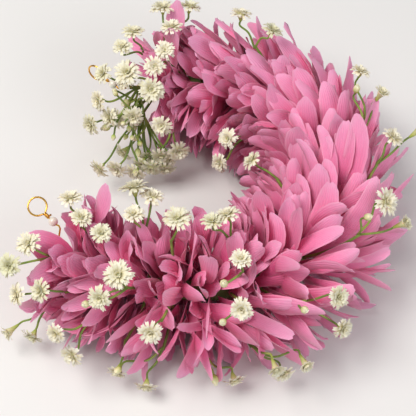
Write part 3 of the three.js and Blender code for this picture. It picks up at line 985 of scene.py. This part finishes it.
def build_loop(end, plan):
    """One wire: shank, twisted neck, round eye and cut tail."""
    bead, forward, across, rise = loop_axes(plan)

    def at(ahead, aside, above):
        return bead + forward * ahead + across * aside + rise * above

    neck_start = BEAD_RADIUS + 0.0007

    def strand(share, half):
        turn = 2 * math.pi * NECK_TURNS * (share - 1) + half
        aside = STRAND_OFFSET * math.cos(turn)
        return at(neck_start + NECK_LENGTH * share, aside, STRAND_OFFSET * math.sin(turn))

    points = [place(along, reach, math.radians(angle)) for along, reach, angle in plan["shank"]]
    points += [at(-BEAD_RADIUS - 0.002, 0, 0), at(-BEAD_RADIUS, 0, 0), at(0, 0, 0)]
    points.append(at(BEAD_RADIUS, 0, 0))
    twist_steps = 12
    points += [strand(i / twist_steps, 0) for i in range(twist_steps + 1)]
    ring_centre = neck_start + NECK_LENGTH + LOOP_RADIUS + 0.0003
    ring_start = math.radians(16)
    ring_steps = 26
    for i in range(ring_steps + 1):
        turn = ring_start + (2 * math.pi - 2 * ring_start) * i / ring_steps
        ahead = ring_centre - LOOP_RADIUS * math.cos(turn)
        points.append(at(ahead, LOOP_RADIUS * math.sin(turn), 0))
    points += [strand(i / twist_steps, math.pi) for i in range(twist_steps, 0, -1)]
    points.append(at(neck_start - 0.0002, 0.0013, -0.0012))
    path = curve_through(points, 2)
    piece = PieceMesh()
    add_tube(piece, path, [WIRE_RADIUS] * len(path), 12, 0)
    piece.finish(end + "_loop_gold", ["drawn_gold"], [end + "_loop_wire"])


def build_bead(end, plan):
    """A pearl, drilled through, with softened hole edges."""
    bead, forward, _, _ = loop_axes(plan)
    hole = WIRE_RADIUS + 0.0003
    soft = 0.00015
    profile = [(hole, -0.0012), (hole, -BEAD_RADIUS * 0.9)]
    steps = 14
    start = math.asin((hole + soft) / BEAD_RADIUS)
    for i in range(steps + 1):
        turn = -math.pi / 2 + start + (math.pi - 2 * start) * i / steps
        profile.append((BEAD_RADIUS * math.cos(turn), BEAD_RADIUS * math.sin(turn)))
    profile += [(hole, BEAD_RADIUS * 0.9), (hole, 0.0012), (hole, -0.0012)]
    piece = PieceMesh()
    add_turned(piece, profile, bead, forward, 28, 0)
    bmesh.ops.recalc_face_normals(piece.bm, faces=piece.bm.faces)
    piece.finish(end + "_pearl_nacre", ["pearl_nacre"], [end + "_pearl_bead"])


# ---- Taped cord ----
TAPE_PITCH = 0.0075
TAPE_LAP = 0.00022


def build_cord():
    """The cord with its tape wound in a helix, each turn lapping the one before."""
    sides = 20
    rings = 230
    piece = PieceMesh()
    lines, _ = piece.sheet(sides, rings)
    start, end = -CORE_OVERHANG, CORE_END
    for i, line in enumerate(lines):
        along = start + (end - start) * clamp((i - 1) / (rings - 2), 0, 1)
        capped = i in (0, rings)
        for j, vert in enumerate(line):
            angle = 2 * math.pi * j / sides
            lap = (along / TAPE_PITCH + j / sides) % 1
            radius = 0 if capped else CORE_RADIUS - TAPE_LAP + TAPE_LAP * lap
            vert.co = place(along, radius, angle)
    verts = [vert for line in lines for vert in line]
    bmesh.ops.remove_doubles(piece.bm, verts=verts, dist=1e-6)
    bmesh.ops.recalc_face_normals(piece.bm, faces=piece.bm.faces)
    piece.finish("taped_cord_wrap", ["floral_tape"], ["core_cord"])


# ---- Add-on: settings, operators and panel ----
def color_setting(name, description, default):
    return FloatVectorProperty(
        name=name, description=description, default=default, subtype="COLOR", min=0, max=1,
    )


class GarlandColors(bpy.types.PropertyGroup):
    petal_base: color_setting("Petal Base", "Petal where it joins", (0.64, 0.04, 0.18))
    petal_lower: color_setting("Petal Lower", "Petal a third of the way up", (0.88, 0.16, 0.34))
    petal_middle: color_setting("Petal Middle", "Petal past its middle", (0.94, 0.27, 0.47))
    petal_tip: color_setting("Petal Tip", "Petal at its tip", (0.95, 0.38, 0.58))
    # Lilac given to petals at random, and as painted shade more to those on the lower side of the
    # cord.
    petal_lilac_and_shade: color_setting("Petal Lilac", "Lilac of some petals, as painted shade on the lower ones", (0.74, 0.36, 0.56))
    floret_base: color_setting("Floret Base", "Floret where it joins", (0.36, 0.42, 0.10))
    floret_middle: color_setting("Floret Middle", "Floret middle", (0.88, 0.79, 0.52))
    floret_tip: color_setting("Floret Tip", "Floret tips", (0.97, 0.92, 0.77))
    cup_green: color_setting("Cup Green", "Flower cups", (0.42, 0.52, 0.10))
    stem_green: color_setting("Stem Green", "Stems", (0.17, 0.29, 0.05))
    stem_dark: color_setting("Stem Dark", "Stems in their darker places", (0.07, 0.13, 0.025))
    gold: color_setting("Gold", "Wire", (0.92, 0.56, 0.12))
    gold_shade: color_setting("Gold Shade", "Wire in its duller places", (0.60, 0.32, 0.06))
    pearl: color_setting("Pearl", "Beads", (0.86, 0.80, 0.68))


class PetalSettings(bpy.types.PropertyGroup):
    petal_width: FloatProperty(
        name="Petal Width", description="Widest part of a petal",
        default=0.0086, unit="LENGTH",
    )
    petals_per_ring: IntProperty(
        name="Petals per Ring", description="Petals in one ring of a whorl", default=12,
    )
    petal_rings: IntProperty(
        name="Rings", description="Rings of petals in one whorl", default=3,
    )


class StageSettings(bpy.types.PropertyGroup):
    camera_elevation: FloatProperty(
        name="Camera Elevation", description="Height of the view over the table",
        default=math.radians(60), subtype="ANGLE",
    )
    camera_distance: FloatProperty(
        name="Camera Distance", description="From the camera to the garland",
        default=0.48, unit="LENGTH",
    )
    camera_lens: FloatProperty(
        name="Lens", description="Focal length in millimetres", default=98.9,
    )
    floor_color: color_setting("Floor", "Studio floor", (0.80, 0.79, 0.77))


class GARLAND_OT_taped_cord(bpy.types.Operator):
    """Makes the cord with its wound floral tape."""

    bl_idname = "garland.taped_cord"
    bl_label = "Taped Cord"

    def execute(self, context):
        build_cord()
        return {"FINISHED"}


class GARLAND_OT_petal_whorls(bpy.types.Operator):
    """Makes the petals of every whorl, one object for each whorl."""

    bl_idname = "garland.petal_whorls"
    bl_label = "Petal Whorls"

    def execute(self, context):
        settings = context.scene.garland_petals
        eyes = [eye_middle(FIRST_LOOP), eye_middle(LAST_LOOP)]
        for number in range(1, WHORL_COUNT + 1):
            piece = PieceMesh()
            petals = list(whorl_petals(number, settings, random.Random(100 + number)))
            if number in END_FANS:
                petals += end_fan(number, random.Random(80 + number))
            petals = [petal for petal in petals if not near_eye(petal, eyes)]
            for petal in petals:
                add_petal(piece, petal)
            name = f"petal_whorl_{number:02d}"
            piece.finish(name + "_petals", ["satin_petal"], [name])
        return {"FINISHED"}


class GARLAND_OT_gap_sprigs(bpy.types.Operator):
    """Makes the gypsophila sprigs that stand between the whorls."""

    bl_idname = "garland.gap_sprigs"
    bl_label = "Gypsophila Sprigs"

    def execute(self, context):
        for number in range(1, len(SPRIGS) + 1):
            build_gap_sprig(number, random.Random(300 + number))
        return {"FINISHED"}


class GARLAND_OT_end_sprigs(bpy.types.Operator):
    """Makes the loose sprigs at the cord's far end."""

    bl_idname = "garland.end_sprigs"
    bl_label = "End Sprigs"

    def execute(self, context):
        for number in range(1, len(END_BUNCH) + 1):
            build_end_sprig(number, random.Random(500 + number))
        return {"FINISHED"}


class GARLAND_OT_wire_loops(bpy.types.Operator):
    """Makes the gold wire loop at each end."""

    bl_idname = "garland.wire_loops"
    bl_label = "Wire Loops"

    def execute(self, context):
        build_loop("first", FIRST_LOOP)
        build_loop("last", LAST_LOOP)
        return {"FINISHED"}


class GARLAND_OT_pearl_beads(bpy.types.Operator):
    """Makes the pearl bead at each loop."""

    bl_idname = "garland.pearl_beads"
    bl_label = "Pearl Beads"

    def execute(self, context):
        build_bead("first", FIRST_LOOP)
        build_bead("last", LAST_LOOP)
        return {"FINISHED"}


def soft_light(name, location, target, size, power, color):
    data = bpy.data.lights.new(name, "AREA")
    data.size = size
    data.energy = power
    data.color = color
    light = bpy.data.objects.new(name, data)
    bpy.context.scene.collection.objects.link(light)
    light.location = location
    light.rotation_euler = (target - location).to_track_quat("-Z", "Y").to_euler()


class GARLAND_OT_stage(bpy.types.Operator):
    """Makes the pale floor, the soft lights and the camera."""

    bl_idname = "garland.stage"
    bl_label = "Stage"

    def execute(self, context):
        settings = context.scene.garland_stage
        floor_mesh = bpy.data.meshes.new("studio_floor")
        bm = bmesh.new()
        bmesh.ops.create_grid(bm, x_segments=1, y_segments=1, size=3)
        bm.to_mesh(floor_mesh)
        bm.free()
        floor = bpy.data.objects.new("studio_floor", floor_mesh)
        context.scene.collection.objects.link(floor)
        material, shader = new_material("floor_paint")
        shader.inputs["Base Color"].default_value = (*settings.floor_color, 1)
        shader.inputs["Roughness"].default_value = 0.8
        floor_mesh.materials.append(material)
        target = Vector((0.0015, -0.003, 0.026)) + ORIGIN_SHIFT
        soft_light("key_light", Vector((-0.45, -0.05, 0.9)), target, 0.5, 8.2, (1.0, 0.98, 0.95))
        soft_light("fill_light", Vector((0.7, -0.5, 0.6)), target, 0.7, 3.8, (0.95, 0.97, 1.0))
        world = bpy.data.worlds.new("studio_air")
        world.use_nodes = True
        background = world.node_tree.nodes["Background"]
        background.inputs["Color"].default_value = (0.95, 0.96, 1.0, 1)
        background.inputs["Strength"].default_value = 0.30
        context.scene.world = world
        elevation = settings.camera_elevation
        back = Vector((0, -math.cos(elevation), math.sin(elevation)))
        data = bpy.data.cameras.new("studio_camera")
        data.lens = settings.camera_lens
        data.sensor_width = 36
        camera = bpy.data.objects.new("studio_camera", data)
        context.scene.collection.objects.link(camera)
        camera.location = target + back * settings.camera_distance
        camera.rotation_euler = (-back).to_track_quat("-Z", "Y").to_euler()
        context.scene.camera = camera
        context.scene.view_settings.view_transform = "Standard"
        return {"FINISHED"}


OPERATORS = [
    GARLAND_OT_stage,
    GARLAND_OT_taped_cord,
    GARLAND_OT_petal_whorls,
    GARLAND_OT_gap_sprigs,
    GARLAND_OT_end_sprigs,
    GARLAND_OT_wire_loops,
    GARLAND_OT_pearl_beads,
]


class GARLAND_PT_panel(bpy.types.Panel):
    """Lists the garland's pieces and their settings."""

    bl_idname = "GARLAND_PT_panel"
    bl_label = "Flower Hair Garland"
    bl_space_type = "VIEW_3D"
    bl_region_type = "UI"
    bl_category = "Garland"

    def draw(self, context):
        for operator in OPERATORS:
            self.layout.operator(operator.bl_idname)
        for owner, group in SETTINGS.items():
            box = self.layout.box()
            for name in group.__annotations__:
                box.prop(getattr(context.scene, owner), name)


SETTINGS = {
    "garland_colors": GarlandColors,
    "garland_petals": PetalSettings,
    "garland_stage": StageSettings,
}
CLASSES = [*SETTINGS.values(), *OPERATORS, GARLAND_PT_panel]


def register():
    for item in CLASSES:
        bpy.utils.register_class(item)
    for name, group in SETTINGS.items():
        setattr(bpy.types.Scene, name, PointerProperty(type=group))


def unregister():
    for name in SETTINGS:
        delattr(bpy.types.Scene, name)
    for item in reversed(CLASSES):
        bpy.utils.unregister_class(item)


def main():
    register()
    for operator in OPERATORS:
        group, name = operator.bl_idname.split(".")
        getattr(getattr(bpy.ops, group), name)()


if __name__ == "__main__":
    main()
